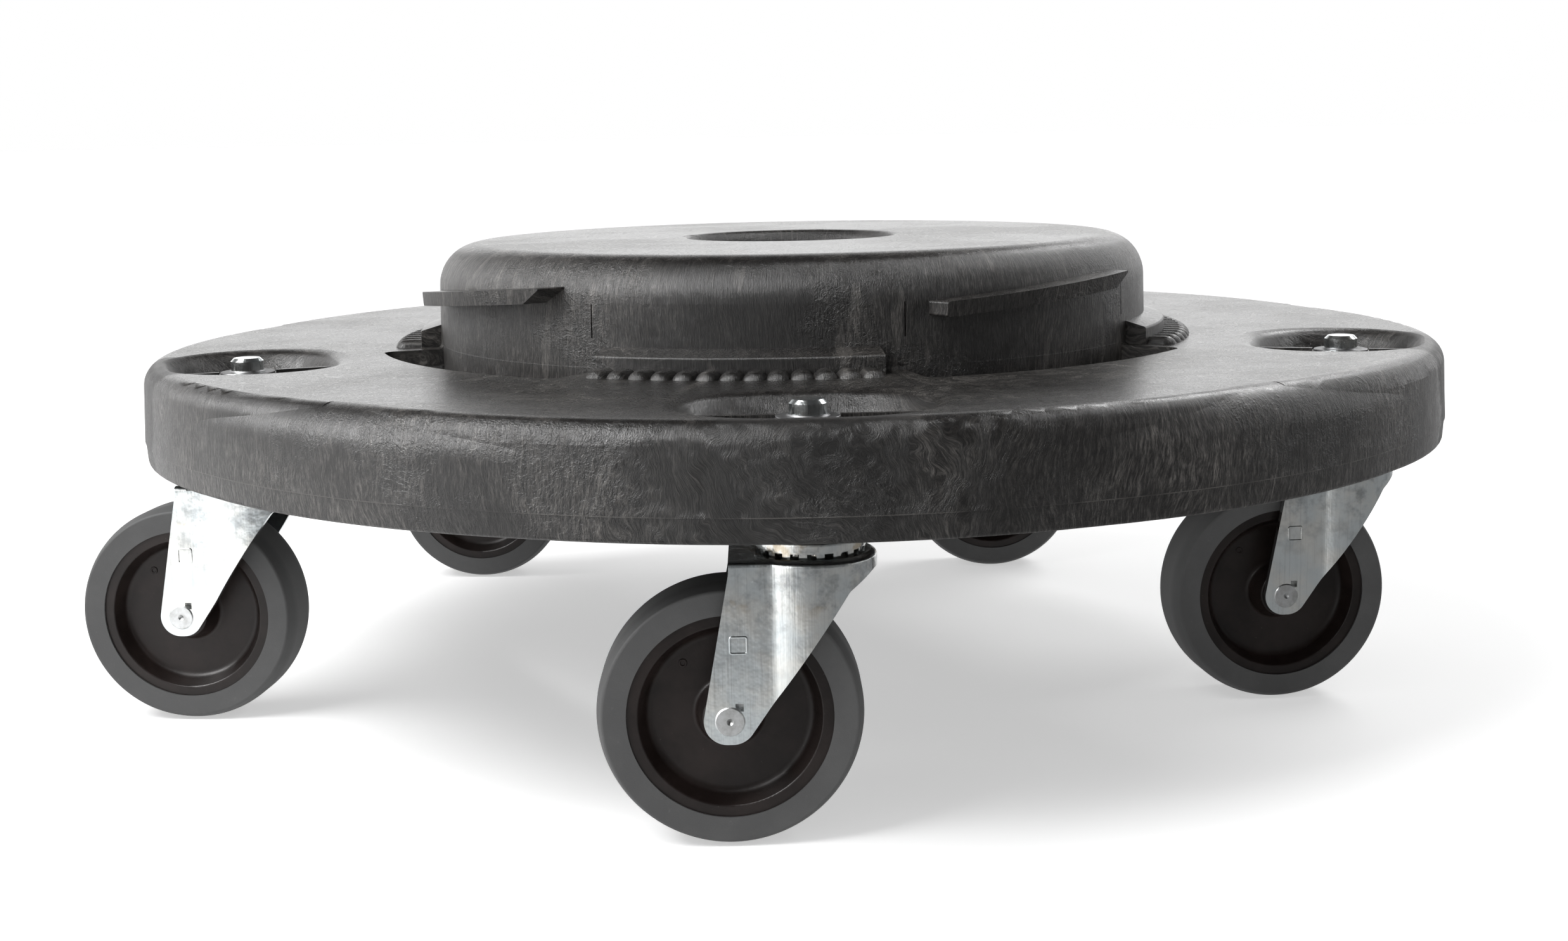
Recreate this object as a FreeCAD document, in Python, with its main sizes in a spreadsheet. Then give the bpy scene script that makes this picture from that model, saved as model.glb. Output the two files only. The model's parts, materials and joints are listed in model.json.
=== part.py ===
import FreeCAD, Part
import math
import os
import re
import Sketcher

# Round furniture dolly: a moulded twist-lock deck on five swivel casters.
# Millimetres, +Z up. The origin is on the floor under the deck's axis, and -Y is the front.
SIZES = {
    # deck: a hat-shaped shell with a rim, a top plate and a hollow hub
    "deck_radius": 233.6,
    "deck_height": 125.25,
    "deck_thick": 6.0,
    "rim_bottom": 92.0,
    "rim_wall": 6.0,
    "rim_draft": 0.6,
    "rim_round": 12.5,
    "foot_round": 1.2,
    "parting_height": 99.5,
    "parting_step": 0.3,
    "skirt_draft": 0.8,
    "hub_radius": 130.9,
    "hub_draft": 0.9,
    "hub_height": 162.0,
    "hub_wall": 6.0,
    "hub_round": 15.0,
    "hub_skirt_bottom": 96.0,
    "hub_root_round": 1.5,
    "hole_radius": 36.0,
    "hole_round": 5.0,
    # stiffening ribs under the deck
    "ring_rib_radius": 153.4,
    "ring_rib_wall": 3.0,
    "ring_rib_bottom": 100.0,
    "spoke_thick": 3.5,
    "spoke_bottom": 98.0,
    "spoke_angle": 22.0,
    # slots through the deck beside the hub, one under each lug
    "lock_count": 4.0,
    "slot_mid_angle": 307.0,
    "slot_half_angle": 22.3,
    "slot_outer_radius": 152.3,
    "slot_corner": 4.5,
    # twist-lock lugs: ramps that climb anticlockwise round the hub
    "lug_turn": 36.5,
    "lug_half_length": 40.8,
    "lug_reach": 139.5,
    "lug_reach_draft": 1.0,
    "lug_low_top": 147.0,
    "lug_high_top": 152.3,
    "lug_thick": 4.9,
    "lug_nose": 8.0,
    "lug_round": 0.8,
    # stop blocks with a row of ratchet ribs in front of each
    "block_start_angle": 241.3,
    "block_angle": 39.7,
    "block_radius": 138.0,
    "block_height": 134.1,
    "block_fall": 2.8,
    "block_round": 0.9,
    "tooth_start_angle": 243.5,
    "tooth_span": 35.3,
    "tooth_count": 13.0,
    "tooth_radius": 3.9,
    "tooth_rise": 2.6,
    "tooth_reach": 147.4,
    # shut-off lines left by the mould beside the slots
    "shut_line_width": 0.45,
    "shut_line_depth": 0.35,
    "shut_line_low": 136.0,
    "shut_line_high": 147.0,
    # caster pods: a bulge in the rim and a bowl round each stem
    "caster_count": 5.0,
    "caster_circle": 200.0,
    "lobe_offset": 28.7,
    "lobe_radius": 206.8,
    "lobe_draft": 1.3,
    "lobe_round": 7.0,
    "lobe_angle": 76.0,
    "bowl_centre": 198.0,
    "bowl_half_width": 33.0,
    "bowl_half_depth": 25.0,
    "bowl_floor": 112.0,
    "bowl_mouth": 125.9,
    "bowl_wall": 4.0,
    "pod_bottom": 106.0,
    "boss_radius": 17.0,
    "stem_seat": 121.3,
    "stem_seat_radius": 9.6,
    "web_thick": 1.8,
    "web_top": 122.1,
    # caster stem, washer and bearing
    "stem_radius": 5.55,
    "stem_top": 126.7,
    "stem_chamfer": 1.1,
    "stem_foot": 74.6,
    "stem_head_radius": 7.4,
    "stem_head": 1.5,
    "bore_play": 0.06,
    "washer_radius": 9.2,
    "washer_thick": 0.7,
    "washer_collar": 6.2,
    "washer_collar_height": 1.2,
    "cap_radius": 16.0,
    "cap_wall": 1.6,
    "cap_bottom": 85.8,
    "cap_shoulder": 88.9,
    "ball_radius": 2.0,
    "ball_circle": 12.4,
    "ball_count": 13.0,
    "ball_height": 84.5,
    "low_ball_radius": 1.2,
    "low_ball_circle": 8.6,
    "low_ball_count": 16.0,
    "low_ball_height": 78.25,
    "cage_radius": 15.6,
    "cage_wall": 0.6,
    "cage_bottom": 83.5,
    "cage_hoop": 0.5,
    "cage_window": 2.6,
    "cage_count": 20.0,
    "race_radius": 11.2,
    "race_bottom": 76.1,
    "race_thick": 0.9,
    "race_lip": 78.6,
    # fork, stamped from thick sheet
    "sheet": 2.2,
    "crown_top": 84.0,
    "crown_floor": 82.2,
    "crown_radius": 18.9,
    "crown_under": 79.8,
    "crown_lip": 1.7,
    "crown_tail": 23.2,
    "crown_round": 2.0,
    "crown_blend": 6.0,
    "fork_half_width": 15.5,
    "fork_end_radius": 6.7,
    "fork_foot": 31.4,
    "fork_tail_low": 32.3,
    "fork_lead_low": 19.4,
    "fork_lead_high": 10.5,
    "fork_lead_height": 74.6,
    "notch_in": 19.7,
    "notch_out": 22.0,
    "notch_bottom": 41.0,
    "notch_top": 43.3,
    # wheel and axle
    "lead": 23.6,
    "wheel_radius": 38.1,
    "axle_radius": 4.25,
    "axle_half_length": 15.9,
    "axle_chamfer": 0.35,
    "dimple_radius": 1.0,
    "dimple_depth": 0.9,
    "sleeve_radius": 6.0,
    "sleeve_half_length": 13.2,
    "hub_boss_radius": 7.8,
    "hub_boss_root": 9.8,
    "hub_boss_half": 12.6,
    "disc_half": 4.4,
    "disc_radius": 23.7,
    "disc_round": 2.4,
    "ring_inner": 26.2,
    "ring_half": 10.5,
    "tyre_inner": 29.4,
    "tyre_half": 11.2,
    "tyre_bulge": 0.3,
    "tyre_shoulder": 36.5,
    "tyre_shoulder_round": 1.0,
    "tyre_crown_half": 7.0,
    "tyre_crown_round": 12.0,
}

# Each caster's place round the deck, and how far its fork is swivelled from trailing along -X.
CASTERS = {
    "front": (270.0, -0.15),
    "right": (342.0, 5.7),
    "back_right": (54.0, -0.6),
    "back_left": (126.0, -3.8),
    "left": (198.0, -5.95),
}

doc = FreeCAD.newDocument("furniture_dolly")
dims = doc.addObject("Spreadsheet::Sheet", "dims")
for place, (angle, swivel) in CASTERS.items():
    SIZES["angle_" + place] = angle
    SIZES["swivel_" + place] = swivel
for row, (alias, value) in enumerate(SIZES.items(), start=1):
    dims.set(f"A{row}", alias)
    dims.set(f"B{row}", str(value))
    dims.setAlias(f"B{row}", alias)
doc.recompute()


def bound(text):
    """The expression that reads every named size in the text from the sheet."""
    def named(word):
        return "dims." + word.group() if word.group() in SIZES else word.group()

    return re.sub(r"[a-z]\w*", named, text)


def value_of(text):
    return float(dims.evalExpression(bound(text)))


def bind(item, name, text):
    item.setExpression(name, bound(text))


def new_body(label):
    body = doc.addObject("PartDesign::Body", label)
    body.Label = label
    return body


def origin_part(body, role):
    return next(item for item in body.Origin.OriginFeatures if item.Role == role)


def sketch_on(body, name, plane, offset=None, turn=None):
    """A sketch on one of the body's origin planes, moved in that plane's frame and turned about Z."""
    sketch = body.newObject("Sketcher::SketchObject", name)
    sketch.AttachmentSupport = [(origin_part(body, plane), "")]
    sketch.MapMode = "FlatFace"
    if turn:
        axis = FreeCAD.Vector(0, 0, 1) if plane == "XY_Plane" else FreeCAD.Vector(0, 1, 0)
        turned = FreeCAD.Rotation(axis, value_of(turn))
        sketch.AttachmentOffset = FreeCAD.Placement(FreeCAD.Vector(), turned)
        bind(sketch, "AttachmentOffset.Rotation.Angle", turn)
    for axis_name, text in (offset or {}).items():
        bind(sketch, "AttachmentOffset.Base." + axis_name, text)
    return sketch


def constrain(sketch, kind, *where, text):
    number = sketch.addConstraint(Sketcher.Constraint(kind, *where, value_of(text)))
    bind(sketch, f"Constraints[{number}]", text)


def outline(sketch, corners):
    """Closed outline of straight edges; a corner is (x, y) or (x, y, rounding radius)."""
    first = sketch.GeometryCount
    points = [FreeCAD.Vector(value_of(corner[0]), value_of(corner[1]), 0) for corner in corners]
    count = len(points)
    for i in range(count):
        sketch.addGeometry(Part.LineSegment(points[i], points[(i + 1) % count]), False)
    for i in range(count):
        sketch.addConstraint(Sketcher.Constraint("Coincident", first + i, 2, first + (i + 1) % count, 1))
    for i, corner in enumerate(corners):
        constrain(sketch, "DistanceX", -1, 1, first + i, 1, text=corner[0])
        constrain(sketch, "DistanceY", -1, 1, first + i, 1, text=corner[1])
    for i, corner in enumerate(corners):
        if len(corner) == 3:
            before = (points[i - 1] + points[i]) / 2
            after = (points[i] + points[(i + 1) % count]) / 2
            edge_before = first + (i - 1) % count
            arc = sketch.GeometryCount
            sketch.fillet(edge_before, first + i, before, after, value_of(corner[2]), True, True)
            constrain(sketch, "Radius", arc, text=corner[2])


def circle(sketch, x, y, radius):
    centre = FreeCAD.Vector(value_of(x), value_of(y), 0)
    number = sketch.addGeometry(Part.Circle(centre, FreeCAD.Vector(0, 0, 1), value_of(radius)), False)
    constrain(sketch, "DistanceX", -1, 1, number, 3, text=x)
    constrain(sketch, "DistanceY", -1, 1, number, 3, text=y)
    constrain(sketch, "Radius", number, text=radius)


def box_corners(x0, x1, y0, y1, rounding=None):
    corners = [(x0, y0), (x1, y0), (x1, y1), (x0, y1)]
    if rounding:
        corners = [corner + (rounding,) for corner in corners]
    return corners


def pad(body, name, sketch, height, both_ways=False):
    feature = body.newObject("PartDesign::Pad", name)
    feature.Profile = sketch
    bind(feature, "Length", height)
    feature.Midplane = both_ways
    return feature


def pocket(body, name, sketch, depth, both_ways=False, flip=False):
    feature = body.newObject("PartDesign::Pocket", name)
    feature.Profile = sketch
    bind(feature, "Length", depth)
    feature.Midplane = both_ways
    feature.Reversed = flip
    return feature


def spin(body, name, sketch, axis, angle="360", cut=False, both_ways=False):
    feature = body.newObject("PartDesign::Groove" if cut else "PartDesign::Revolution", name)
    feature.Profile = sketch
    feature.ReferenceAxis = axis
    bind(feature, "Angle", angle)
    feature.Midplane = both_ways
    return feature


def z_axis(body):
    return (origin_part(body, "Z_Axis"), [""])


def y_axis(body):
    return (origin_part(body, "Y_Axis"), [""])


def ring_pattern(body, name, originals, count, angle="360"):
    """Repeat features round the body's Z axis."""
    feature = body.newObject("PartDesign::PolarPattern", name)
    feature.Originals = originals
    feature.Axis = z_axis(body)
    bind(feature, "Angle", angle)
    bind(feature, "Occurrences", count)
    body.Tip = feature
    return feature


def turned_about_z(body, name, corners):
    """One revolved ring: corners are (radius, height)."""
    sketch = sketch_on(body, name + "_profile", "XZ_Plane")
    outline(sketch, corners)
    return spin(body, name, sketch, z_axis(body))


def turned_about_axle(label, corners):
    """A body revolved about its own Y axis: corners are (radius, distance along the axle)."""
    body = new_body(label)
    sketch = sketch_on(body, "profile", "XY_Plane")
    outline(sketch, corners)
    spin(body, "turned", sketch, y_axis(body))
    return body


# ---------------------------------------------------------------- deck

def deck_shell(body):
    plate_under = "deck_height - deck_thick"
    turned_about_z(body, "shell", [
        ("hole_radius", "hub_height", "hole_round"),
        ("hub_radius - hub_draft", "hub_height", "hub_round"),
        ("hub_radius", "deck_height", "hub_root_round"),
        ("deck_radius - rim_draft", "deck_height", "rim_round"),
        ("deck_radius", "parting_height"),
        ("deck_radius - parting_step", "parting_height"),
        ("deck_radius - skirt_draft", "rim_bottom", "foot_round"),
        ("deck_radius - rim_wall", "rim_bottom", "foot_round"),
        ("deck_radius - rim_wall", plate_under),
        ("hub_radius", plate_under),
        ("hub_radius", "hub_skirt_bottom"),
        ("hub_radius - hub_wall", "hub_skirt_bottom"),
        ("hub_radius - hub_wall - hub_draft", "hub_height - hub_wall", "hub_round - hub_wall"),
        ("hole_radius", "hub_height - hub_wall"),
    ])


def deck_slots(body):
    """One slot through the plate, against the hub wall, as a ring sector with rounded outer corners."""
    sketch = sketch_on(body, "slot_plan", "XY_Plane", {"z": "deck_height + 3"}, "slot_mid_angle")
    inner, outer, half = value_of("hub_radius"), value_of("slot_outer_radius"), value_of("slot_half_angle")
    flat, up = FreeCAD.Vector(), FreeCAD.Vector(0, 0, 1)
    spread = math.radians(half)
    for radius in (inner, outer):
        sketch.addGeometry(Part.ArcOfCircle(Part.Circle(flat, up, radius), -spread, spread), False)
    for side in (-1, 1):
        toward = FreeCAD.Rotation(up, side * half).multVec(FreeCAD.Vector(1, 0, 0))
        sketch.addGeometry(Part.LineSegment(toward * inner, toward * outer), False)
    for arc, radius in ((0, "hub_radius"), (1, "slot_outer_radius")):
        sketch.addConstraint(Sketcher.Constraint("Coincident", arc, 3, -1, 1))
        constrain(sketch, "Radius", arc, text=radius)
    for line, arc_end, side in ((2, 1, "-1"), (3, 2, "1")):
        sketch.addConstraint(Sketcher.Constraint("Coincident", line, 1, 0, arc_end))
        sketch.addConstraint(Sketcher.Constraint("Coincident", line, 2, 1, arc_end))
        sketch.addConstraint(Sketcher.Constraint("PointOnObject", -1, 1, line))
        number = sketch.addConstraint(Sketcher.Constraint("Angle", line, float(side) * spread))
        sketch.setExpression(f"Constraints[{number}]", bound(f"{side} * slot_half_angle * 1 deg"))
    for line, side in ((2, -1), (3, 1)):
        toward = FreeCAD.Rotation(up, side * half).multVec(FreeCAD.Vector(1, 0, 0))
        on_line = toward * (inner + outer) / 2
        on_arc = FreeCAD.Vector(outer, 0, 0)
        arc = sketch.GeometryCount
        sketch.fillet(line, 1, on_line, on_arc, value_of("slot_corner"), True, True)
        constrain(sketch, "Radius", arc, text="slot_corner")
    return pocket(body, "slot", sketch, "deck_thick + 4")


def deck_lug(body):
    """A ramp padded outwards from the axis; the grooves that follow trim it to a ring."""
    sketch = sketch_on(body, "lug_side", "XZ_Plane", turn="lug_turn")
    slope = "(lug_high_top - lug_low_top) / (2 * lug_half_length)"
    outline(sketch, [
        ("-lug_half_length", "lug_low_top", "lug_round"),
        ("-lug_half_length", "lug_low_top - lug_thick", "lug_round"),
        ("lug_half_length - lug_nose", f"lug_high_top - lug_thick - lug_nose * {slope}", "lug_round"),
        ("lug_half_length", "lug_high_top", "lug_round / 2"),
    ])
    return pad(body, "lug", sketch, "lug_reach + 6")


def deck_block(body):
    sketch = sketch_on(body, "block_section", "XZ_Plane", turn="block_start_angle")
    outline(sketch, [
        ("hub_radius - 3", "deck_height - 2"),
        ("block_radius", "deck_height - 2"),
        ("block_radius", "block_height - block_fall", "block_round"),
        ("hub_radius - 3", "block_height"),
    ])
    return spin(body, "block", sketch, z_axis(body), "block_angle")


def deck_locks(body):
    """Slots, lugs, stop blocks and ratchet teeth, four sets round the hub."""
    ring_pattern(body, "slots", [deck_slots(body)], "lock_count")
    ring_pattern(body, "lugs", [deck_lug(body)], "lock_count")
    outer = sketch_on(body, "lug_face", "XZ_Plane")
    outline(outer, [
        ("lug_reach - lug_reach_draft", "lug_low_top - 3 * lug_thick / 2"),
        ("lug_reach + 20", "lug_low_top - 3 * lug_thick / 2"),
        ("lug_reach + 20", "lug_high_top + 1"),
        ("lug_reach", "lug_high_top + 1"),
    ])
    spin(body, "lug_faces", outer, z_axis(body), cut=True)
    inner = sketch_on(body, "hub_inside", "XZ_Plane")
    inside = "hub_radius - hub_wall - hub_draft"
    outline(inner, box_corners("0", inside, "lug_low_top - 3 * lug_thick", "hub_height - hub_wall - 4"))
    spin(body, "hub_hollow", inner, z_axis(body), cut=True)
    ring_pattern(body, "blocks", [deck_block(body)], "lock_count")
    for side, sign in (("near", "-"), ("far", "+")):
        slot_end = f"slot_mid_angle {sign} slot_half_angle"
        line = sketch_on(body, f"shut_line_{side}", "XZ_Plane", turn=slot_end)
        outline(line, box_corners("hub_radius - hub_draft - shut_line_depth", "hub_radius + 1",
                                  "shut_line_low", "shut_line_high"))
        groove = pocket(body, f"shut_groove_{side}", line, "shut_line_width", both_ways=True)
        ring_pattern(body, f"shut_grooves_{side}", [groove], "lock_count")
    tooth_plan = sketch_on(body, "tooth_side", "XZ_Plane", {"y": "deck_height + tooth_rise - tooth_radius"},
                           "tooth_start_angle")
    outline(tooth_plan, [
        ("block_radius - 2", "0"),
        ("tooth_reach", "0"),
        ("tooth_reach", "tooth_radius", "tooth_radius - 0.1"),
        ("block_radius - 2", "tooth_radius"),
    ])
    tooth = spin(body, "tooth", tooth_plan, (tooth_plan, ["H_Axis"]))
    row = body.newObject("PartDesign::PolarPattern", "tooth_row")
    sets = body.newObject("PartDesign::PolarPattern", "tooth_sets")
    for pattern, count, angle in ((row, "tooth_count", "tooth_span"), (sets, "lock_count", "360")):
        pattern.Axis = z_axis(body)
        bind(pattern, "Angle", angle)
        bind(pattern, "Occurrences", count)
    teeth = body.newObject("PartDesign::MultiTransform", "teeth")
    teeth.Originals = [tooth]
    teeth.Transformations = [row, sets]
    body.Tip = teeth


def deck_underside(body):
    under = "deck_height - deck_thick + 0.5"
    turned_about_z(body, "ring_rib", box_corners(
        "ring_rib_radius", "ring_rib_radius + ring_rib_wall", "ring_rib_bottom", under))
    plan = sketch_on(body, "spoke_plan", "XY_Plane", {"z": "spoke_bottom"}, "angle_front + spoke_angle")
    outline(plan, box_corners("ring_rib_radius + 1", "deck_radius - rim_wall + 1",
                              "-spoke_thick / 2", "spoke_thick / 2"))
    spoke = pad(body, "spoke", plan, f"{under} - spoke_bottom")
    other = sketch_on(body, "other_spoke_plan", "XY_Plane", {"z": "spoke_bottom"},
                      "angle_front - spoke_angle")
    outline(other, box_corners("ring_rib_radius + 1", "deck_radius - rim_wall + 1",
                               "-spoke_thick / 2", "spoke_thick / 2"))
    other_spoke = pad(body, "other_spoke", other, f"{under} - spoke_bottom")
    ring_pattern(body, "spokes", [spoke, other_spoke], "caster_count")


def stadium(sketch, aside, outward, inward):
    """Round-ended plan of the bowl at the front caster, grown sideways, to the rim and to the hub."""
    across = f"bowl_half_width + {aside}"
    near = f"-bowl_centre - bowl_half_depth - ({outward})"
    far = f"-bowl_centre + bowl_half_depth + {inward}"
    rounding = f"bowl_half_depth + ({outward} + {inward}) / 2 - 0.5"
    outline(sketch, box_corners(f"-({across})", across, near, far, rounding))


def deck_pods(body):
    """Lobe, bowl, stem seat and bore at the front caster, then repeated at the other four."""
    lobe_plan = sketch_on(body, "lobe_section", "XZ_Plane", {"z": "lobe_offset"}, "angle_front")
    plate_under = "deck_height - deck_thick"
    outline(lobe_plan, [
        ("lobe_radius - 18", "deck_height"),
        ("lobe_radius - lobe_draft", "deck_height", "lobe_round"),
        ("lobe_radius", "parting_height"),
        ("lobe_radius - parting_step", "parting_height"),
        ("lobe_radius - skirt_draft", "rim_bottom", "foot_round"),
        ("lobe_radius - rim_wall", "rim_bottom", "foot_round"),
        ("lobe_radius - rim_wall", plate_under),
        ("lobe_radius - 18", plate_under),
    ])
    lobe = spin(body, "lobe", lobe_plan, (lobe_plan, ["V_Axis"]), "lobe_angle", both_ways=True)

    block_plan = sketch_on(body, "pod_plan", "XY_Plane", {"z": "pod_bottom"})
    stadium(block_plan, "bowl_wall - 1", "bowl_wall - 1", "bowl_wall - 1")
    pod = pad(body, "pod", block_plan, f"{plate_under} + 0.5 - pod_bottom")
    boss_plan = sketch_on(body, "boss_plan", "XY_Plane", {"z": "rim_bottom"})
    circle(boss_plan, "0", "-caster_circle", "boss_radius")
    boss = pad(body, "boss", boss_plan, "pod_bottom + 1 - rim_bottom")

    levels = [
        ("bowl_floor", "-6", "-6", "-6"),
        ("(bowl_floor + deck_height) / 2", "-1", "-1", "-1"),
        ("deck_height - 2.8", "1.3", "1.3", "1.3"),
        ("deck_height - 0.9", "3.5", "3.1", "3.5"),
        ("deck_height - 0.1", "6.5", "4.6", "7"),
        ("bowl_mouth", "9", "6", "10"),
    ]
    sections = []
    for number, (height, aside, outward, inward) in enumerate(levels):
        section = sketch_on(body, f"bowl_level_{number}", "XY_Plane", {"z": height})
        stadium(section, aside, outward, inward)
        sections.append(section)
    bowl = body.newObject("PartDesign::SubtractiveLoft", "bowl")
    bowl.Profile = sections[0]
    bowl.Sections = sections[1:]

    seat_plan = sketch_on(body, "seat_plan", "XY_Plane", {"z": "pod_bottom + 1"})
    circle(seat_plan, "0", "-caster_circle", "stem_seat_radius")
    seat = pad(body, "seat", seat_plan, "stem_seat - pod_bottom - 1")
    webs = []
    for name, half_x, half_y in (("web_across", "bowl_half_width + 2", "web_thick / 2"),
                                 ("web_along", "web_thick / 2", "bowl_half_depth + 2")):
        plan = sketch_on(body, name + "_plan", "XY_Plane", {"z": "bowl_floor - 1"})
        outline(plan, box_corners(f"-({half_x})", half_x, f"-bowl_centre - ({half_y})",
                                  f"-bowl_centre + {half_y}"))
        webs.append(pad(body, name, plan, "web_top - bowl_floor + 1"))

    spot_plan = sketch_on(body, "washer_spot_plan", "XY_Plane", {"z": "stem_seat"})
    circle(spot_plan, "0", "-caster_circle", "stem_seat_radius")
    spot = pocket(body, "washer_spot", spot_plan, "web_top - stem_seat + 1", flip=True)
    bore_plan = sketch_on(body, "bore_plan", "XY_Plane", {"z": "stem_seat + 1"})
    circle(bore_plan, "0", "-caster_circle", "stem_radius + bore_play")
    bore = pocket(body, "bore", bore_plan, "stem_seat + 2 - rim_bottom")
    ring_pattern(body, "pods", [lobe, pod, boss, bowl, seat] + webs + [spot, bore], "caster_count")


def deck():
    body = new_body("deck_body")
    deck_shell(body)
    deck_underside(body)
    deck_locks(body)
    deck_pods(body)
    return body


# ---------------------------------------------------------------- caster, about its own stem axis

def stem(place):
    body = new_body("stem_" + place)
    turned_about_z(body, "turned", [
        ("0", "stem_foot"),
        ("stem_head_radius", "stem_foot", "0.7"),
        ("stem_head_radius", "stem_foot + stem_head"),
        ("stem_radius", "stem_foot + stem_head"),
        ("stem_radius", "stem_top - stem_chamfer"),
        ("stem_radius - stem_chamfer", "stem_top"),
        ("0", "stem_top"),
    ])
    return body


def washer(place):
    body = new_body("washer_" + place)
    turned_about_z(body, "pressed", [
        ("stem_radius", "stem_seat"),
        ("washer_radius", "stem_seat"),
        ("washer_radius", "stem_seat + washer_thick", "0.3"),
        ("washer_collar", "stem_seat + washer_thick", "0.4"),
        ("washer_collar - 0.4", "stem_seat + washer_collar_height"),
        ("stem_radius", "stem_seat + washer_collar_height"),
    ])
    return body


def bearing_cap(place):
    body = new_body("bearing_cap_" + place)
    turned_about_z(body, "pressed", [
        ("stem_radius", "rim_bottom"),
        ("boss_radius - 7", "rim_bottom", "2"),
        ("cap_radius", "cap_shoulder", "2.4"),
        ("cap_radius", "cap_bottom"),
        ("cap_radius - cap_wall", "cap_bottom"),
        ("cap_radius - cap_wall", "cap_shoulder - 2"),
        ("stem_radius", "cap_shoulder - 2"),
    ])
    return body


def ball_ring(body, name, radius, circle_radius, height, count):
    sketch = sketch_on(body, name + "_half", "XZ_Plane", {"x": circle_radius, "y": height})
    whole, top = FreeCAD.Vector(), FreeCAD.Vector(0, 0, 1)
    size = value_of(radius)
    quarter = math.pi / 2
    sketch.addGeometry(Part.ArcOfCircle(Part.Circle(whole, top, size), -quarter, quarter), False)
    sketch.addGeometry(Part.LineSegment(FreeCAD.Vector(0, size, 0), FreeCAD.Vector(0, -size, 0)), False)
    sketch.addConstraint(Sketcher.Constraint("Coincident", 0, 3, -1, 1))
    sketch.addConstraint(Sketcher.Constraint("Coincident", 0, 2, 1, 1))
    sketch.addConstraint(Sketcher.Constraint("Coincident", 0, 1, 1, 2))
    sketch.addConstraint(Sketcher.Constraint("PointOnObject", 1, 1, -2))
    sketch.addConstraint(Sketcher.Constraint("PointOnObject", 1, 2, -2))
    constrain(sketch, "Radius", 0, text=radius)
    ball = spin(body, name, sketch, (sketch, ["V_Axis"]))
    ring_pattern(body, name + "_ring", [ball], count)


def bearing_balls(place):
    body = new_body("bearing_balls_" + place)
    body.AllowCompound = True
    ball_ring(body, "upper", "ball_radius", "ball_circle", "ball_height", "ball_count")
    ball_ring(body, "lower", "low_ball_radius", "low_ball_circle", "low_ball_height", "low_ball_count")
    return body


def ball_cage(place):
    """A hoop under the cap with fingers that hang down between the balls."""
    body = new_body("ball_cage_" + place)
    turned_about_z(body, "band", box_corners(
        "cage_radius - cage_wall", "cage_radius", "cage_bottom", "cap_bottom - 0.05"))
    plan = sketch_on(body, "gap_plan", "XY_Plane", {"z": "cap_bottom - cage_hoop"})
    outline(plan, box_corners("cage_radius - 2", "cage_radius + 1", "-cage_window / 2", "cage_window / 2"))
    gap = pocket(body, "gap", plan, "cap_bottom - cage_bottom")
    ring_pattern(body, "gaps", [gap], "cage_count")
    return body


def lower_race(place):
    body = new_body("lower_race_" + place)
    turned_about_z(body, "pressed", [
        ("stem_radius", "race_bottom"),
        ("race_radius", "race_bottom", "1.2"),
        ("race_radius", "race_lip"),
        ("race_radius - race_thick", "race_lip"),
        ("race_radius - race_thick", "race_bottom + race_thick", "0.5"),
        ("stem_radius", "race_bottom + race_thick"),
    ])
    return body


def edges_where(feature, test):
    """Names of the feature's edges whose bounding box passes the test."""
    return [f"Edge{i}" for i, edge in enumerate(feature.Shape.Edges, start=1) if test(edge.BoundBox)]


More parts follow.
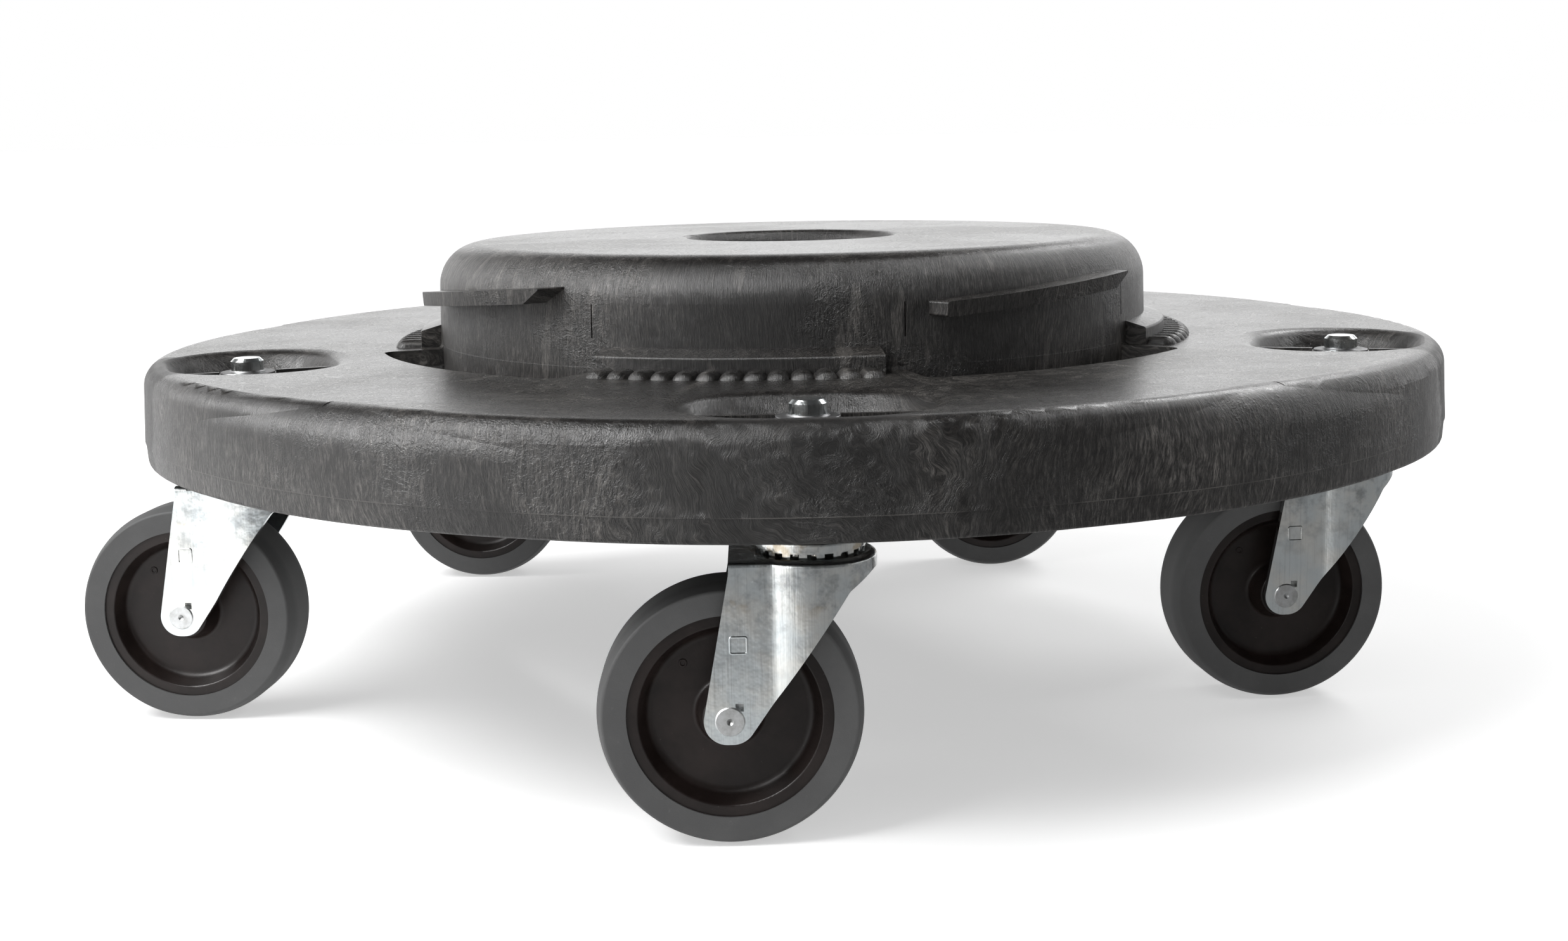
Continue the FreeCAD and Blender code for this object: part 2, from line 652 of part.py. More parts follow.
def fork(place):
    """Sheet crown with a round front, and two legs cut on the slant down to the axle."""
    body = new_body("fork_" + place)
    box_plan = sketch_on(body, "leg_plan", "XY_Plane", {"z": "fork_foot - 1"})
    outline(box_plan, box_corners("-fork_tail_low - 2", "0", "-fork_half_width", "fork_half_width"))
    pad(body, "legs", box_plan, "crown_top - fork_foot + 1")
    round_plan = sketch_on(body, "round_plan", "XY_Plane", {"z": "fork_foot - 1"})
    circle(round_plan, "0", "0", "crown_radius")
    crown = pad(body, "round_front", round_plan, "crown_top - fork_foot + 1")
    doc.recompute()
    blend = body.newObject("PartDesign::Fillet", "leg_blend")
    tail = value_of("-crown_tail")
    blend.Base = (crown, edges_where(crown, lambda box: box.ZLength > 10 and tail < box.XMin < -1))
    bind(blend, "Radius", "crown_blend")
    doc.recompute()
    top = value_of("crown_top")
    rim = body.newObject("PartDesign::Fillet", "crown_edge")
    rim.Base = (blend, edges_where(blend, lambda box: box.ZMin > top - 0.01 and box.XMax > tail))
    bind(rim, "Radius", "crown_round")

    inside = sketch_on(body, "inside_plan", "XY_Plane", {"z": "crown_under"})
    inner_half = "fork_half_width - sheet"
    outline(inside, box_corners("-fork_tail_low - 4", "0", f"-({inner_half})", inner_half))
    pocket(body, "inside", inside, "crown_under - fork_foot + 2")
    round_inside = sketch_on(body, "round_inside_plan", "XY_Plane", {"z": "crown_under"})
    circle(round_inside, "0", "0", "crown_radius - sheet")
    pocket(body, "round_inside", round_inside, "crown_under - fork_foot + 2")

    side = sketch_on(body, "side_profile", "XZ_Plane")
    outline(side, box_corners("-fork_tail_low - 10", "crown_radius + 10",
                              "fork_foot - 10", "crown_top + 10"))
    outline(side, [
        ("-crown_tail", "crown_top + 2"),
        ("-crown_tail", "crown_under + 0.4", "3"),
        ("-fork_tail_low", "fork_foot", "fork_end_radius"),
        ("-fork_lead_low", "fork_foot", "fork_end_radius"),
        ("fork_lead_high", "fork_lead_height", "4"),
        ("crown_radius - 1.2", "crown_under - 0.4", "2"),
        ("crown_radius + 2", "crown_under - 0.4"),
        ("crown_radius + 2", "crown_top + 2"),
    ])
    pocket(body, "side_cut", side, "4 * crown_radius", both_ways=True)

    dish = sketch_on(body, "dish_profile", "XZ_Plane")
    lip = "crown_radius - crown_lip"
    outline(dish, [
        ("0", "crown_floor"),
        (f"{lip} - 1.6", "crown_floor", "1"),
        (lip, "crown_floor + 1.2", "0.5"),
        (lip, "crown_top + 1"),
        ("0", "crown_top + 1"),
    ])
    spin(body, "dish", dish, z_axis(body), cut=True)

    bore = sketch_on(body, "bore_plan", "XY_Plane", {"z": "crown_top"})
    circle(bore, "0", "0", "stem_radius + bore_play")
    pocket(body, "stem_bore", bore, "2 * (crown_top - crown_under)")
    axle_hole = sketch_on(body, "axle_hole_side", "XZ_Plane")
    circle(axle_hole, "-lead", "wheel_radius", "axle_radius")
    pocket(body, "axle_hole", axle_hole, "4 * fork_half_width", both_ways=True)
    notch = sketch_on(body, "notch_side", "XZ_Plane")
    outline(notch, box_corners("-notch_out", "-notch_in", "notch_bottom", "notch_top"))
    pocket(body, "notch", notch, "4 * fork_half_width", both_ways=True)
    return body


# ---------------------------------------------------------------- wheel, about its own axle

def both_sides(corners):
    """Corners of one half, then the same mirrored to the other side of the wheel."""
    mirrored = [(corner[0], f"-({corner[1]})") + corner[2:] for corner in reversed(corners)]
    return corners + mirrored


def axle(place):
    return turned_about_axle("axle_" + place, both_sides([
        ("0", "axle_half_length - dimple_depth"),
        ("dimple_radius", "axle_half_length"),
        ("axle_radius - axle_chamfer", "axle_half_length"),
        ("axle_radius", "axle_half_length - axle_chamfer"),
    ]))


def axle_sleeve(place):
    return turned_about_axle("axle_sleeve_" + place, both_sides([
        ("axle_radius", "sleeve_half_length"),
        ("sleeve_radius", "sleeve_half_length"),
    ]))


def wheel_core(place):
    return turned_about_axle("wheel_core_" + place, both_sides([
        ("sleeve_radius + bore_play", "hub_boss_half"),
        ("hub_boss_radius", "hub_boss_half", "0.8"),
        ("hub_boss_root", "disc_half", "1.5"),
        ("disc_radius", "disc_half", "disc_round"),
        ("ring_inner", "ring_half", "0.5"),
        ("tyre_inner", "ring_half"),
    ]))


def tyre(place):
    return turned_about_axle("tyre_" + place, both_sides([
        ("tyre_inner", "tyre_half"),
        ("tyre_shoulder", "tyre_half + tyre_bulge", "tyre_shoulder_round"),
        ("wheel_radius", "tyre_crown_half", "tyre_crown_round"),
    ]))


def place_on_stem(body, place):
    """Stand a piece on its caster's stem axis, swivelled to the rest angle."""
    bind(body, "Placement.Base.x", f"caster_circle * cos(angle_{place})")
    bind(body, "Placement.Base.y", f"caster_circle * sin(angle_{place})")
    bind(body, "Placement.Rotation.Angle", f"swivel_{place}")


def place_on_axle(body, place):
    """Hang a piece on its caster's axle, which trails the stem by the lead."""
    bind(body, "Placement.Base.x", f"caster_circle * cos(angle_{place}) - lead * cos(swivel_{place})")
    bind(body, "Placement.Base.y", f"caster_circle * sin(angle_{place}) - lead * sin(swivel_{place})")
    bind(body, "Placement.Base.z", "wheel_radius")
    bind(body, "Placement.Rotation.Angle", f"swivel_{place}")


def caster(place):
    stem_makers = (stem, washer, bearing_cap, bearing_balls, ball_cage, lower_race, fork)
    axle_makers = (axle, axle_sleeve, wheel_core, tyre)
    on_stem = [make(place) for make in stem_makers]
    on_axle = [make(place) for make in axle_makers]
    for body in on_stem:
        place_on_stem(body, place)
    for body in on_axle:
        place_on_axle(body, place)
    return on_stem + on_axle


pieces = [deck()]
for place in CASTERS:
    pieces += caster(place)
doc.recompute()

for item in doc.Objects:
    if "Invalid" in item.State or "Error" in item.State:
        raise RuntimeError(f"{item.Label} did not compute: {item.State}")
for piece in pieces:
    if piece.Shape.isNull() or not piece.Shape.isValid():
        raise RuntimeError(f"{piece.Label} has no valid shape")

os.makedirs("parts", exist_ok=True)
for piece in pieces:
    piece.Shape.exportStep(f"parts/{piece.Label}.step")
    print(piece.Label, len(piece.Shape.Solids), "solids", round(piece.Shape.Volume), "mm3")
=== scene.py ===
import bmesh
import bpy
import math
from mathutils import Matrix, Vector
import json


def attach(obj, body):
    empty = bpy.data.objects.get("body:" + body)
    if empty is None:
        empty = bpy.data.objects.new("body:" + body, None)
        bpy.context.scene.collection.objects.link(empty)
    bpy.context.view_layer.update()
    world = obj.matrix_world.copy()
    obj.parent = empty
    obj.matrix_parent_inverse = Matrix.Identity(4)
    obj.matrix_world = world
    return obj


# Furniture dolly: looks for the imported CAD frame. Metres, +Z up, -Y is the front.
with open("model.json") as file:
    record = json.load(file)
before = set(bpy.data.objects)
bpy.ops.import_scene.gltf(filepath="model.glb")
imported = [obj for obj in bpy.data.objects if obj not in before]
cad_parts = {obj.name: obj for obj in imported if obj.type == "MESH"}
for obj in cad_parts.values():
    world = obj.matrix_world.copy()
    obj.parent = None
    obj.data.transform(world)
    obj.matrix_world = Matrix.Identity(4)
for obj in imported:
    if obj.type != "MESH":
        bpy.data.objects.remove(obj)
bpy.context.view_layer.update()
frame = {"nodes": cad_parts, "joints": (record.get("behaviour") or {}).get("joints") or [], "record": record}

scene = bpy.context.scene
scene.view_settings.view_transform = "Standard"
WHITE = (1.0, 1.0, 1.0, 1.0)
UP = Vector((0.0, 0.0, 1.0))


# ---------------------------------------------------------------- camera

CAMERA_PLACE = (-0.0151, -0.7579, 0.20075)
CAMERA_YAW = 0.83
CAMERA_DOWN = 9.60
CAMERA_ROLL = -1.10
LENS = 46.16
SENSOR = 36.0


def make_camera():
    """Camera at the photograph's place; its angles in degrees turn it right, down and about its own axis."""
    yaw, pitch, roll = math.radians(CAMERA_YAW), math.radians(CAMERA_DOWN), math.radians(CAMERA_ROLL)
    forward = Vector((math.sin(yaw) * math.cos(pitch), math.cos(yaw) * math.cos(pitch), -math.sin(pitch)))
    level = Vector((math.cos(yaw), -math.sin(yaw), 0.0))
    upright = level.cross(forward)
    right = math.cos(roll) * level + math.sin(roll) * upright
    up = -math.sin(roll) * level + math.cos(roll) * upright
    camera = bpy.data.objects.new("camera", bpy.data.cameras.new("camera"))
    turn = Matrix((right, up, -forward)).transposed().to_4x4()
    camera.matrix_world = Matrix.Translation(CAMERA_PLACE) @ turn
    camera.data.sensor_width = SENSOR
    camera.data.lens = LENS
    camera.data.clip_start = 0.01
    scene.collection.objects.link(camera)
    scene.camera = camera


make_camera()


# ---------------------------------------------------------------- node helpers

class Graph:
    """Adds shader nodes to one material or world; values may be numbers, colours or sockets."""

    def __init__(self, owner):
        owner.use_nodes = True
        self.tree = owner.node_tree
        self.tree.nodes.clear()

    def put(self, socket, value):
        if isinstance(value, bpy.types.NodeSocket):
            self.tree.links.new(value, socket)
        else:
            socket.default_value = value

    def add(self, kind, inputs=None, **settings):
        made = self.tree.nodes.new("ShaderNode" + kind)
        for name, value in settings.items():
            setattr(made, name, value)
        for name, value in (inputs or {}).items():
            self.put(made.inputs[name], value)
        return made

    def math(self, operation, *values, clamp=False):
        made = self.add("Math", operation=operation, use_clamp=clamp)
        for socket, value in zip(made.inputs, values):
            self.put(socket, value)
        return made.outputs[0]

    def plus(self, base, value, factor):
        """base + value * factor"""
        return self.math("ADD", base, self.math("MULTIPLY", value, factor))

    def minus(self, base, value, factor):
        """base - value * factor"""
        return self.math("SUBTRACT", base, self.math("MULTIPLY", value, factor))

    def vector(self, operation, *values):
        made = self.add("VectorMath", operation=operation)
        for socket, value in zip(made.inputs, values):
            self.put(socket, value)
        return made.outputs[0]

    def noise(self, where, scale, detail, rough, output="Fac"):
        made = self.add("TexNoise", {"Vector": where, "Scale": scale, "Detail": detail, "Roughness": rough})
        return made.outputs[output]

    def spread(self, value, low, high, to_low=0.0, to_high=1.0):
        """Smoothly maps value from low..high to to_low..to_high."""
        made = self.add("MapRange", {"Value": value, "From Min": low, "From Max": high,
                                     "To Min": to_low, "To Max": to_high}, interpolation_type="SMOOTHSTEP")
        return made.outputs["Result"]

    def mix(self, share, low, high):
        """The colour that lies share of the way from low to high."""
        made = self.add("Mix", data_type="RGBA")
        for number, value in ((0, share), (6, low), (7, high)):
            self.put(made.inputs[number], value)
        return made.outputs[2]

    def blend(self, share, low, high):
        """The plain number that lies share of the way from low to high."""
        made = self.add("Mix", data_type="FLOAT")
        for number, value in ((0, share), (2, low), (3, high)):
            self.put(made.inputs[number], value)
        return made.outputs[0]

    def scaled(self, vector, factor):
        return self.add("VectorMath", {0: vector, 3: factor}, operation="SCALE").outputs[0]

    def length(self, vector):
        return self.add("VectorMath", {0: vector}, operation="LENGTH").outputs["Value"]

    def along(self, vector, direction):
        """How far vector reaches along direction."""
        made = self.add("VectorMath", {0: vector, 1: direction}, operation="DOT_PRODUCT")
        return made.outputs["Value"]

    def split(self, vector):
        return self.add("SeparateXYZ", {0: vector}).outputs

    def position(self):
        return self.add("TexCoord").outputs["Object"]

    def bump(self, height, distance, normal=None):
        """Relief of the given depth in metres, on top of an earlier relief if there is one."""
        inputs = {"Height": height, "Distance": distance, "Strength": 1.0}
        if normal:
            inputs["Normal"] = normal
        return self.add("Bump", inputs).outputs["Normal"]

    def surface(self, **inputs):
        named = {name.replace("_", " "): value for name, value in inputs.items()}
        shader = self.add("BsdfPrincipled", named)
        end = self.add("OutputMaterial")
        self.tree.links.new(shader.outputs[0], end.inputs["Surface"])


# ---------------------------------------------------------------- materials

CASTERS = 5.0
FRONT_ANGLE = -math.pi / 2
STREAK_RADIUS = 0.23
STREAK_SQUEEZE = 0.15
LEVEL_FACING = (0.75, 0.97)
RIM_RADII = (0.205, 0.225)
HUB_RADII = (0.175, 0.165)
PARTING_HEIGHT = 0.0995
# half widths of the painted highlight line along the parting line
PARTING_HIGHLIGHT_HALF = (0.00028, 0.00008)
GREY_POINT = (0.5, 0.5, 0.5)


def deck_plastic():
    """Black structural foam: hair-fine grey flow streaks that run up the walls, swirl over the
    caster lobes and turn to smoky clouds on the flat tops."""
    material = bpy.data.materials.new("deck_plastic")
    g = Graph(material)
    here = g.position()
    parts = g.split(here)
    flat = g.add("CombineXYZ", {0: parts[0], 1: parts[1]}).outputs[0]
    radius = g.length(flat)
    outward = g.vector("NORMALIZE", flat)
    from_front = g.math("SUBTRACT", g.math("ARCTAN2", parts[1], parts[0]), FRONT_ANGLE)
    wave = g.math("COSINE", g.math("MULTIPLY", from_front, CASTERS))
    facing = g.split(g.add("NewGeometry").outputs["Normal"])[2]
    level = g.spread(facing, *LEVEL_FACING)
    at_rim = g.spread(radius, *RIM_RADII)
    swirling = g.math("MULTIPLY", g.spread(wave, 0.2, 0.9), at_rim)

    # streaks: the wall is wrapped on one radius and squeezed upwards, then swayed along the wall
    drift = g.vector("SUBTRACT", g.noise(here, 9.0, 2.0, 0.5, "Color"), GREY_POINT)
    curl = g.vector("SUBTRACT", g.noise(here, 64.0, 2.0, 0.6, "Color"), GREY_POINT)
    tangent = g.vector("CROSS_PRODUCT", UP[:], outward)
    lean = g.math("MULTIPLY", g.split(drift)[0], g.plus(0.034, swirling, 0.100))
    bend = g.math("MULTIPLY", g.split(curl)[1], g.plus(0.005, swirling, 0.018))
    sway = g.scaled(tangent, g.math("ADD", lean, bend))
    upright = g.add("CombineXYZ", {2: g.math("MULTIPLY", parts[2], STREAK_SQUEEZE)}).outputs[0]
    wrapped = g.scaled(outward, STREAK_RADIUS)
    wall_flow = g.vector("ADD", g.vector("ADD", wrapped, upright), sway)
    top_flow = g.vector("ADD", here, g.vector("ADD", g.scaled(drift, 0.10), g.scaled(curl, 0.035)))
    hair = g.blend(level, g.noise(wall_flow, 2500.0, 4.0, 0.8), g.noise(top_flow, 1100.0, 4.0, 0.75))
    strand = g.blend(level, g.noise(wall_flow, 950.0, 4.0, 0.7), g.noise(top_flow, 130.0, 5.0, 0.66))

    # smoke, crinkled skin and leaf-shaped flecks
    smoke = g.noise(g.vector("ADD", here, g.scaled(drift, 0.03)), 16.0, 5.0, 0.62)
    crease = g.noise(g.vector("ADD", here, g.scaled(curl, 0.01)), 340.0, 4.0, 0.68)
    crease = g.math("ABSOLUTE", g.math("SUBTRACT", crease, 0.5))
    flaky = g.spread(g.noise(here, 21.0, 3.0, 0.6), 0.45, 0.60)
    flaky = g.math("MULTIPLY", flaky, g.math("SUBTRACT", 1.0, level))
    crinkle = g.math("MULTIPLY", crease, g.math("ADD", 0.10, flaky))
    slender = g.vector("ADD", wrapped, g.scaled(upright, 2.4))
    patch = g.noise(g.vector("ADD", slender, sway), 120.0, 1.5, 0.45)

    # colour: pale is the share of grey in the black
    fine = g.spread(hair, 0.38, 0.64)
    cord = g.spread(strand, 0.36, 0.68)
    cloud = g.spread(smoke, 0.38, 0.64)
    pale = g.plus(g.math("MULTIPLY", fine, 0.55), cord, 0.45)
    pale = g.math("POWER", pale, 2.1)
    pale = g.math("MULTIPLY", pale, g.plus(0.20, cloud, 0.72))
    # band over the front of each caster lobe: the flow region with its swirled hair is real, but its darker
    # grey is painted shade where the shoulder highlight is missing; it is also rougher
    edge = g.plus(wave, g.math("SUBTRACT", smoke, 0.5), 0.35)
    weld_and_painted_shade = g.math("MULTIPLY", g.spread(edge, 0.80, 0.86), at_rim)
    pale = g.math("MULTIPLY", pale, g.minus(1.0, weld_and_painted_shade, 0.60))
    on_hub = g.spread(radius, *HUB_RADII)
    fleck = g.math("MULTIPLY", g.spread(patch, 0.63, 0.69), g.plus(0.04, on_hub, 0.22))
    fleck = g.math("MULTIPLY", fleck, g.math("ADD", 0.4, fine))
    pale = g.math("ADD", pale, fleck, clamp=True)
    # the parting line round the rim is real; its thin pale grey line is a painted highlight, the light
    # caught on the flash
    seam_highlight = g.math("ABSOLUTE", g.math("SUBTRACT", parts[2], PARTING_HEIGHT))
    seam_highlight = g.math("MULTIPLY", g.spread(seam_highlight, *PARTING_HIGHLIGHT_HALF, 0.0, 0.4), at_rim)
    pale = g.math("MAXIMUM", pale, g.math("MULTIPLY", seam_highlight, g.spread(smoke, 0.35, 0.55)))
    colour = g.mix(pale, (0.0050, 0.0043, 0.0040, 1.0), (0.165, 0.154, 0.143, 1.0))

    # sheen and relief: the flat tops are smoother than the walls
    rough = g.minus(0.40, fine, 0.10)
    rough = g.plus(rough, cloud, 0.05)
    rough = g.plus(rough, weld_and_painted_shade, 0.12)
    rough = g.minus(rough, level, 0.10)
    standing = g.minus(1.0, level, 0.75)
    relief = g.bump(g.math("MULTIPLY", hair, standing), 0.00016)
    relief = g.bump(g.math("MULTIPLY", strand, standing), 0.00020, relief)
    relief = g.bump(crinkle, 0.00075, relief)
    g.surface(Base_Color=colour, Roughness=rough, IOR=1.50, Normal=relief)
    return material


DRAW_STRETCH = (1.0, 1.0, 0.03)
# heights over which the painted dark reflection of the deck underside grows on the fork legs
DARK_REFLECTION_HEIGHTS = (0.040, 0.078)
# heights of the straw-tinted painted dark reflection just under the crown
CROWN_REFLECTION_HEIGHTS = (0.066, 0.076)


def brushed_zinc():
    """Bright zinc plate over drawn sheet: upright draw lines, cloudy tints, and by the crown a painted dark
    reflection of the deck underside, as blotches that grow upwards and a straw-tinted darkening.
    """
    material = bpy.data.materials.new("zinc_steel")
    g = Graph(material)
    here = g.position()
    height = g.split(here)[2]
    upright = g.add("Mapping", {"Vector": here, "Scale": DRAW_STRETCH}).outputs[0]
    lines = g.noise(upright, 1500.0, 3.0, 0.65)
    scores = g.noise(upright, 420.0, 3.0, 0.6)
    cloud = g.noise(here, 75.0, 4.0, 0.62)
    blotch = g.noise(here, 190.0, 4.0, 0.65)
    tint = g.mix(g.spread(cloud, 0.35, 0.68), (0.63, 0.675, 0.69, 1.0), (0.72, 0.72, 0.69, 1.0))
    # blotchy darkening: the blotches are real, but their growth from faint to strong towards the crown is a
    # painted dark reflection of the deck underside
    blotch_and_dark_reflection = g.math("MULTIPLY", g.spread(blotch, 0.42, 0.72), g.spread(height, *DARK_REFLECTION_HEIGHTS, 0.10, 0.75))
    colour = g.mix(blotch_and_dark_reflection, tint, (0.30, 0.315, 0.325, 1.0))
    colour = g.mix(g.math("MULTIPLY", g.spread(lines, 0.52, 0.70), 0.35), colour, (0.40, 0.41, 0.41, 1.0))
    # straw-tinted darkening just under the crown: painted dark reflection of the deck underside
    painted_crown_reflection = g.math("MULTIPLY", g.spread(cloud, 0.60, 0.68), g.spread(height, *CROWN_REFLECTION_HEIGHTS))
    colour = g.mix(g.math("MULTIPLY", painted_crown_reflection, 0.6), colour, (0.36, 0.27, 0.15, 1.0))
    rough = g.plus(0.13, lines, 0.10)
    rough = g.plus(rough, blotch_and_dark_reflection, 0.10)
    relief = g.bump(lines, 0.00003)
    relief = g.bump(scores, 0.00011, relief)
    relief = g.bump(cloud, 0.00035, relief)
    g.surface(Base_Color=colour, Metallic=1.0, Roughness=rough, Normal=relief)
    return material


def worn_steel(name, bright, dark, smooth):
    """Plated steel with fine pits and a patchy finish, from bright to dark."""
    material = bpy.data.materials.new(name)
    g = Graph(material)
    here = g.position()
    grain = g.noise(here, 1500.0, 4.0, 0.6)
    patch = g.noise(here, 320.0, 3.0, 0.6)
    colour = g.mix(g.spread(patch, 0.35, 0.7), bright, dark)
    rough = g.plus(smooth, grain, 0.20)
    relief = g.bump(grain, 0.00005)
    g.surface(Base_Color=colour, Metallic=1.0, Roughness=rough, Normal=relief)
    return material


def core_plastic():
    """Dark brown-black moulded wheel centre with a satin skin."""
    material = bpy.data.materials.new("core_plastic")
    g = Graph(material)
    here = g.position()
    skin = g.noise(here, 1400.0, 3.0, 0.6)
    cloud = g.noise(here, 70.0, 4.0, 0.6)
    dust = g.noise(here, 900.0, 2.0, 0.7)
    colour = g.mix(g.spread(cloud, 0.35, 0.7), (0.0085, 0.0052, 0.0045, 1.0), (0.0165, 0.0108, 0.0095, 1.0))
    colour = g.mix(g.spread(dust, 0.70, 0.80, 0.0, 0.5), colour, (0.075, 0.062, 0.056, 1.0))
    rough = g.plus(0.32, cloud, 0.16)
    relief = g.bump(skin, 0.00003)
    relief = g.bump(cloud, 0.00012, relief)
    g.surface(Base_Color=colour, Roughness=rough, IOR=1.36, Normal=relief)
    return material


def tyre_rubber():
    """Grey non-marking rubber: matt, evenly coloured, with a little dust in its skin."""
    material = bpy.data.materials.new("tyre_rubber")
    g = Graph(material)
    here = g.position()
    grain = g.noise(here, 2200.0, 2.0, 0.6)
    dust = g.noise(here, 55.0, 5.0, 0.65)
    speck = g.noise(here, 520.0, 3.0, 0.6)
    colour = g.mix(g.spread(dust, 0.35, 0.7), (0.060, 0.060, 0.0605, 1.0), (0.072, 0.072, 0.072, 1.0))
    colour = g.mix(g.spread(speck, 0.64, 0.78, 0.0, 0.35), colour, (0.105, 0.104, 0.102, 1.0))
    rough = g.plus(0.60, dust, 0.20)
    relief = g.bump(grain, 0.00004)
    relief = g.bump(speck, 0.00004, relief)
    g.surface(Base_Color=colour, Roughness=rough, IOR=1.45, Normal=relief)
    return material


MATERIALS = {
    "deck_plastic": deck_plastic(),
    "zinc_steel": brushed_zinc(),
    "rivet_steel": worn_steel("rivet_steel", (0.62, 0.63, 0.635, 1.0), (0.44, 0.445, 0.44, 1.0), 0.28),
    "washer_steel": worn_steel("washer_steel", (0.24, 0.24, 0.245, 1.0), (0.12, 0.12, 0.12, 1.0), 0.34),
    "ball_steel": worn_steel("ball_steel", (0.70, 0.70, 0.71, 1.0), (0.45, 0.43, 0.39, 1.0), 0.08),
    "core_plastic": core_plastic(),
    "tyre_rubber": tyre_rubber(),
}

for subpart in frame["record"]["subparts"]:
    node = frame["nodes"][subpart["node"]]
    node.data.materials.clear()
    node.data.materials.append(MATERIALS[subpart["material_slot"]])


# ---------------------------------------------------------------- small raised marks

PLACES = ("front", "right", "back_right", "back_left", "left")
FORK_FACE = 0.0155
DISC_FACE = 0.0044
# each mark's middle as (ahead, up) from its origin, half its width, and its corner radius
STAMP = ((-0.0208, 0.0600), 0.0027, 0.0009)
RING_MARK = ((-0.0132, 0.0143), 0.0013, 0.00125)
# the bead's section as (towards the edge, proud of the face), from its outer foot to its inner foot
BEAD = ((0.0, -0.00005), (-0.00005, 0.00014), (-0.00020, 0.00025),
        (-0.00045, 0.00025), (-0.00062, 0.00014), (-0.00070, -0.00005))
CORNER_STEPS = 6


def rounded_square(half, corner):
    """Points round a square with rounded corners, anticlockwise from its right side."""
    points = []
    for quarter in range(4):
        across = (1, -1, -1, 1)[quarter] * (half - corner)
        along = (1, 1, -1, -1)[quarter] * (half - corner)
        for step in range(CORNER_STEPS + 1):
            turn = math.radians(90.0 * (quarter + step / CORNER_STEPS))
            points.append((across + corner * math.cos(turn), along + corner * math.sin(turn)))
    return points


def raised_frame(name, origin, ahead, outward, mark, body, slot):
    """A low closed bead round a rounded square, on the upright face that passes through origin."""
    (middle_ahead, middle_up), half, corner = mark
    shape = bmesh.new()
    loops = []
    for inset, proud in BEAD:
        lifted = origin + outward * proud
        loops.append([shape.verts.new(lifted + ahead * (middle_ahead + u) + UP * (middle_up + v))
                      for u, v in rounded_square(half + inset, corner + inset)])
    count = len(loops[0])
    for first, second in zip(loops, loops[1:] + loops[:1]):
        for k in range(count):
            following = (k + 1) % count
            shape.faces.new((first[k], first[following], second[following], second[k]))
    bmesh.ops.recalc_face_normals(shape, faces=shape.faces)
    for face in shape.faces:
        face.smooth = True
    mesh = bpy.data.meshes.new(name)
    shape.to_mesh(mesh)
    shape.free()
    piece = bpy.data.objects.new(name, mesh)
    scene.collection.objects.link(piece)
    mesh.materials.append(MATERIALS[slot])
    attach(piece, body)


def make_marks():
    """Plain stamped frame on each fork's front leg; plain moulded rings on both faces of each wheel disc."""
    joints = {joint["name"]: joint for joint in frame["joints"]}
    for place in PLACES:
        swivel = Vector(joints["swivel_" + place]["pos_m"])
        hub = Vector(joints["wheel_spin_" + place]["pos_m"])
        axle = Vector(joints["wheel_spin_" + place]["axis"]).normalized()
        ahead = axle.cross(UP)
        foot = Vector((swivel.x, swivel.y, 0.0))
        raised_frame("stamp_" + place, foot - axle * FORK_FACE, ahead, -axle, STAMP,
                     "swivel_" + place, "zinc_steel")
        for name, outward in (("ring_mark_front_", -axle), ("ring_mark_back_", axle)):
            raised_frame(name + place, hub + outward * DISC_FACE, ahead, outward, RING_MARK,
                         "wheel_" + place, "core_plastic")


make_marks()


# ---------------------------------------------------------------- floor, world and lights

FLOOR_HALF = 60.0
BRIGHT_SIDE = (-1.1, 1.0, 0.0)
BRIGHT_FROM = (0.05, -0.50)
GLOW_DISTANCES = (0.9, 2.6)
LEFT_FRONT = (-0.84, -0.54, 0.0)


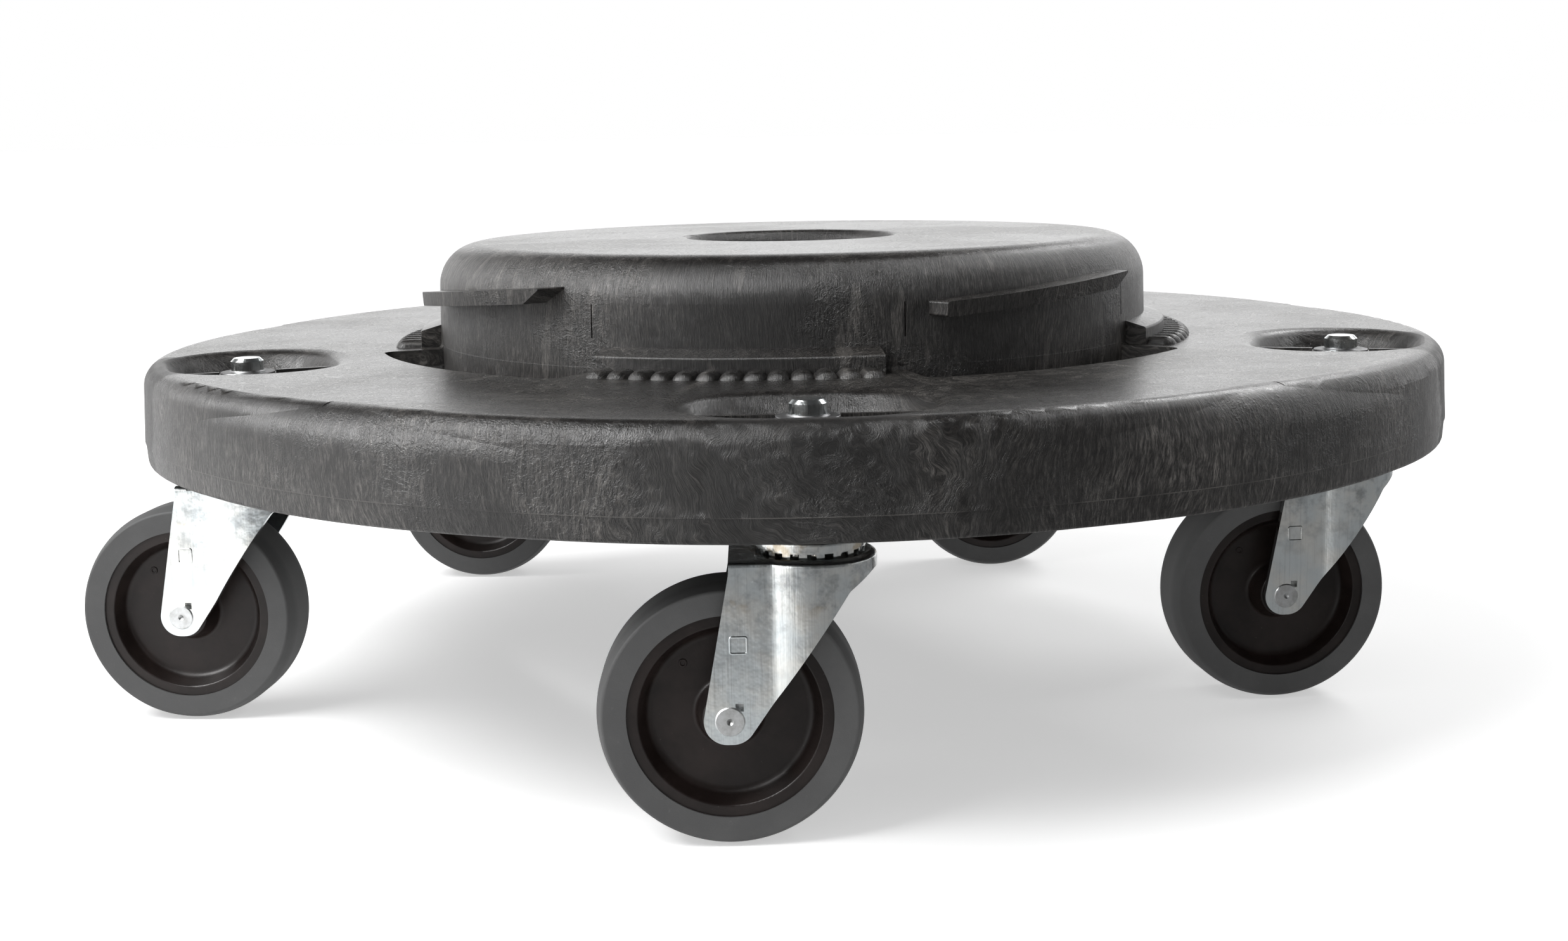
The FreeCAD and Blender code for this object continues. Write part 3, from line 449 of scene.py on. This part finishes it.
def make_floor():
    """Pale sweep that glows a little, as a lit studio table does, and more far away, up to white.
    Mirror-like reflections see its right front dimmer."""
    mesh = bpy.data.meshes.new("floor")
    corners = [(x * FLOOR_HALF, y * FLOOR_HALF, 0) for x, y in ((-1, -1), (1, -1), (1, 1), (-1, 1))]
    mesh.from_pydata(corners, [], [(0, 1, 2, 3)])
    floor = bpy.data.objects.new("floor", mesh)
    scene.collection.objects.link(floor)
    material = bpy.data.materials.new("floor")
    g = Graph(material)
    here = g.position()
    mottle = g.noise(here, 3.0, 3.0, 0.5)
    mirrored = g.add("LightPath").outputs["Is Glossy Ray"]
    pale = g.mix(mottle, (0.86, 0.86, 0.86, 1.0), (0.89, 0.89, 0.89, 1.0))
    dimmed = g.math("MULTIPLY", mirrored, g.spread(g.along(here, BRIGHT_SIDE), *BRIGHT_FROM))
    colour = g.mix(dimmed, pale, (0.20, 0.20, 0.20, 1.0))
    glow = g.blend(dimmed, g.spread(g.length(here), *GLOW_DISTANCES, 0.46, 0.74), 0.05)
    g.surface(Base_Color=colour, Roughness=0.85, Emission_Color=WHITE, Emission_Strength=glow)
    material.cycles.emission_sampling = "NONE"
    mesh.materials.append(material)


def make_world():
    """White to the eye and for soft light. Mirror-like reflections see a bright low sweep behind,
    a paler one at the left front, and a dim room above."""
    world = bpy.data.worlds.new("studio")
    scene.world = world
    g = Graph(world)
    direction = g.add("TexCoord").outputs["Generated"]
    parts = g.split(direction)
    behind = g.spread(parts[1], -0.6, 0.6, 0.10, 1.7)
    left = g.spread(g.along(direction, LEFT_FRONT), 0.50, 0.98, 0.0, 0.7)
    low = g.spread(parts[2], 0.62, 0.12)
    mirrored_level = g.plus(0.05, g.math("ADD", behind, left), low)
    path = g.add("LightPath").outputs
    level = g.blend(path["Is Glossy Ray"], 0.36, mirrored_level)
    level = g.blend(path["Is Camera Ray"], level, 1.0)
    shine = g.add("Background", {"Color": WHITE, "Strength": level})
    end = g.add("OutputWorld")
    g.tree.links.new(shine.outputs[0], end.inputs["Surface"])


DECK_MIDDLE = (0.0, 0.0, 0.1)
COOL = (0.97, 0.985, 1.0)


def soft_box(name, where, target, width, depth, power, colour=WHITE[:3], diffuse=True):
    """Rectangular studio lamp that the camera does not see; without diffuse it only makes highlights."""
    light = bpy.data.lights.new(name, "AREA")
    light.shape = "RECTANGLE"
    light.size, light.size_y = width, depth
    light.energy = power
    light.color = colour
    lamp = bpy.data.objects.new(name, light)
    lamp.location = where
    lamp.rotation_mode = "QUATERNION"
    lamp.rotation_quaternion = (Vector(target) - Vector(where)).to_track_quat("-Z", "Y")
    lamp.visible_camera = False
    lamp.visible_diffuse = diffuse
    scene.collection.objects.link(lamp)


make_floor()
make_world()
soft_box("key", (-0.95, -0.45, 1.33), DECK_MIDDLE, 1.3, 0.9, 29.0)
soft_box("left_card", (-1.32, -1.37, 0.35), (0.0, -0.1, 0.06), 0.95, 0.9, 3.2, COOL)
soft_box("back_strip", (0.95, 0.75, 1.05), DECK_MIDDLE, 1.1, 0.30, 9.0)
soft_box("rim_strip", (-1.28, -0.56, 0.93), (0.0, -0.1, 0.1), 1.0, 0.5, 36.0, diffuse=False)
